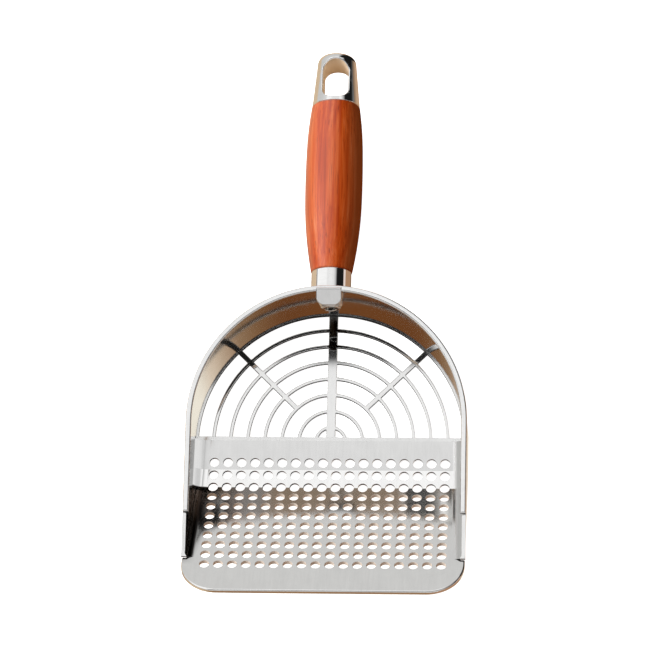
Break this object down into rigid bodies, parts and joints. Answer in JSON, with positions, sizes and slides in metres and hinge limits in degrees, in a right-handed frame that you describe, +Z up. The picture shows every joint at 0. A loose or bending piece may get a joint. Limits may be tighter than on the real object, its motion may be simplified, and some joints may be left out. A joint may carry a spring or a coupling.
{
  "type": "sand sifting hand scoop",
  "caption": "Hand scoop for sifting sand: round-backed steel sieve head with a perforated sloping mouth, turned wooden grip and a slotted metal end cap.",
  "frame": {"origin": "common centre of the grille arcs, on the underside of the grille", "axes": "+Z up, out of the open top; +Y towards the grip; X across the mouth"},
  "size_m": [0.1512, 0.3124, 0.0463],
  "materials": {
    "sheet_steel": "bright rolled stainless sheet",
    "forged_steel": "bright stainless fittings",
    "polished_steel": "mirror polished stainless",
    "grip_wood": "oiled orange-red hardwood"
  },
  "bodies": {
    "root": {"side_wall": "sheet_steel", "rim_bead": "sheet_steel", "front_pan": "sheet_steel", "arc_grille": "sheet_steel", "rim_tongue": "forged_steel", "clamp_nut": "forged_steel", "tie_rod": "forged_steel", "ferrule": "polished_steel", "wood_grip": "grip_wood", "end_cap": "polished_steel"}
  },
  "joints": []
}
